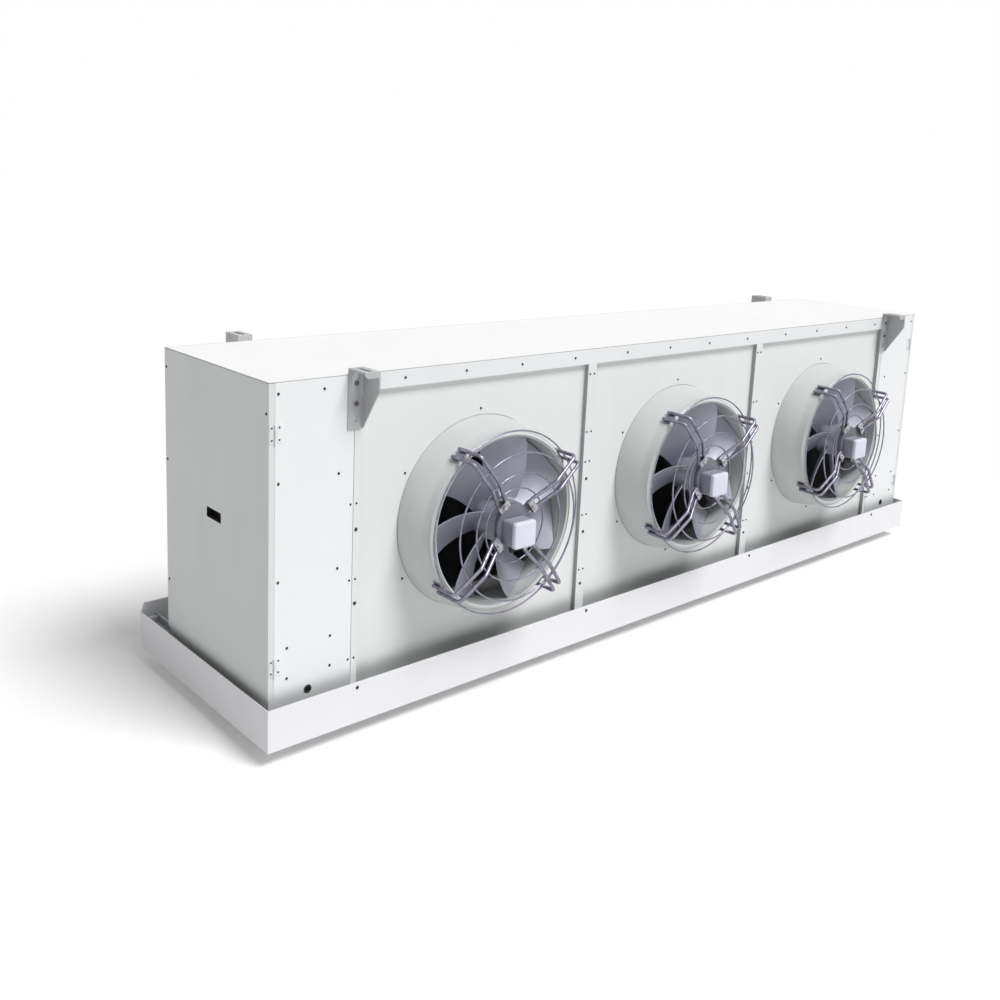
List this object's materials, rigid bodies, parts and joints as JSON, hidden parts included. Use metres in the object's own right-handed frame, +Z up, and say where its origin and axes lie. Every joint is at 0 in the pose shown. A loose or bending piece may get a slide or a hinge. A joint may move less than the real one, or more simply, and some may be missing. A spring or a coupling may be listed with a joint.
{
  "type": "walk-in unit cooler",
  "caption": "Ceiling-hung air cooler for a cold room: long white sheet casing with axial fans behind wire guards, finned coil, hinged side covers and a hinged drip tray.",
  "frame": {"origin": "middle of the four hanging slots, in the plane of the bracket top plates that meet the ceiling", "axes": "+X along the casing to the end with the pipe connections, -Y the way the fans blow, +Z up"},
  "size_m": [3.25, 0.96, 1.041],
  "materials": {
    "white_sheet": "white powder coat",
    "nozzle_sheet": "white powder coat",
    "tray_sheet": "white powder coat",
    "zinc_sheet": "galvanised",
    "zinc_bracket": "galvanised",
    "guard_wire": "zinc plated",
    "fan_blades": "grey lacquer",
    "motor_casting": "die cast",
    "box_casting": "satin",
    "black_plastic": "satin",
    "black_rubber": "matte",
    "fin_sheet": "mill",
    "copper_tube": "drawn copper",
    "zinc_fastener": "zinc plated"
  },
  "bodies": {
    "casing": {"top_panel": "white_sheet", "front_top_rail": "white_sheet", "rear_frame": "white_sheet", "front_end_panel_left": "white_sheet", "front_end_panel_right": "white_sheet", "rear_end_panel_left": "white_sheet", "rear_end_panel_right": "white_sheet", "bay_partition_1": "white_sheet", "bay_partition_2": "white_sheet", "bay_partition_3": "white_sheet", "bay_partition_4": "white_sheet", "fan_panel_1": "white_sheet", "fan_panel_2": "white_sheet", "fan_panel_3": "white_sheet", "nozzle_ring_1": "nozzle_sheet", "nozzle_ring_2": "nozzle_sheet", "nozzle_ring_3": "nozzle_sheet", "hanging_bracket_front_left": "zinc_bracket", "hanging_bracket_front_right": "zinc_bracket", "hanging_bracket_rear_left": "zinc_bracket", "hanging_bracket_rear_right": "zinc_bracket", "fan_guard_1": "guard_wire", "fan_guard_2": "guard_wire", "fan_guard_3": "guard_wire", "fan_motor_1": "motor_casting", "fan_motor_2": "motor_casting", "fan_motor_3": "motor_casting", "terminal_box_1": "box_casting", "terminal_box_2": "box_casting", "terminal_box_3": "box_casting", "terminal_box_lid_1": "box_casting", "terminal_box_lid_2": "box_casting", "terminal_box_lid_3": "box_casting", "cable_glands": "black_plastic", "cable_grommets": "black_rubber", "fin_pack": "fin_sheet", "coil_end_plate_left": "zinc_sheet", "coil_end_plate_right": "zinc_sheet", "tray_hinge_arms": "zinc_sheet", "return_bends_left": "copper_tube", "return_bends_right": "copper_tube", "inlet_header": "copper_tube", "outlet_header": "copper_tube", "guard_bolts": "zinc_fastener", "casing_screws": "zinc_fastener", "bracket_bolts": "zinc_fastener", "cover_hinges": "zinc_fastener"},
    "impeller_1": {"impeller_1": "fan_blades"},
    "impeller_2": {"impeller_2": "fan_blades"},
    "impeller_3": {"impeller_3": "fan_blades"},
    "side_cover_left": {"side_cover_left": "white_sheet", "grip_cup_left": "black_plastic", "cover_screws_left": "zinc_fastener"},
    "side_cover_right": {"side_cover_right": "white_sheet", "grip_cup_right": "black_plastic", "cover_screws_right": "zinc_fastener"},
    "drip_tray": {"drip_tray": "tray_sheet", "drain_socket": "zinc_sheet", "tray_screws": "zinc_fastener"}
  },
  "joints": [
    {"name": "fan_spin_1", "type": "hinge", "parent": "casing", "child": "impeller_1", "pos_m": [-0.9, -0.38, -0.476], "axis": [0, -1, 0], "continuous": true},
    {"name": "fan_spin_2", "type": "hinge", "parent": "casing", "child": "impeller_2", "pos_m": [0, -0.38, -0.476], "axis": [0, -1, 0], "continuous": true},
    {"name": "fan_spin_3", "type": "hinge", "parent": "casing", "child": "impeller_3", "pos_m": [0.9, -0.38, -0.476], "axis": [0, -1, 0], "continuous": true},
    {"name": "side_cover_left_hinge", "type": "hinge", "parent": "casing", "child": "side_cover_left", "pos_m": [-1.588, -0.3034, -0.46], "axis": [0, 0, 1], "range_deg": [0, 110]},
    {"name": "side_cover_right_hinge", "type": "hinge", "parent": "casing", "child": "side_cover_right", "pos_m": [1.588, -0.3034, -0.46], "axis": [0, 0, -1], "range_deg": [0, 110]},
    {"name": "drip_tray_hinge", "type": "hinge", "parent": "casing", "child": "drip_tray", "pos_m": [0, 0.435, -0.896], "axis": [1, 0, 0], "range_deg": [0, 75]}
  ]
}
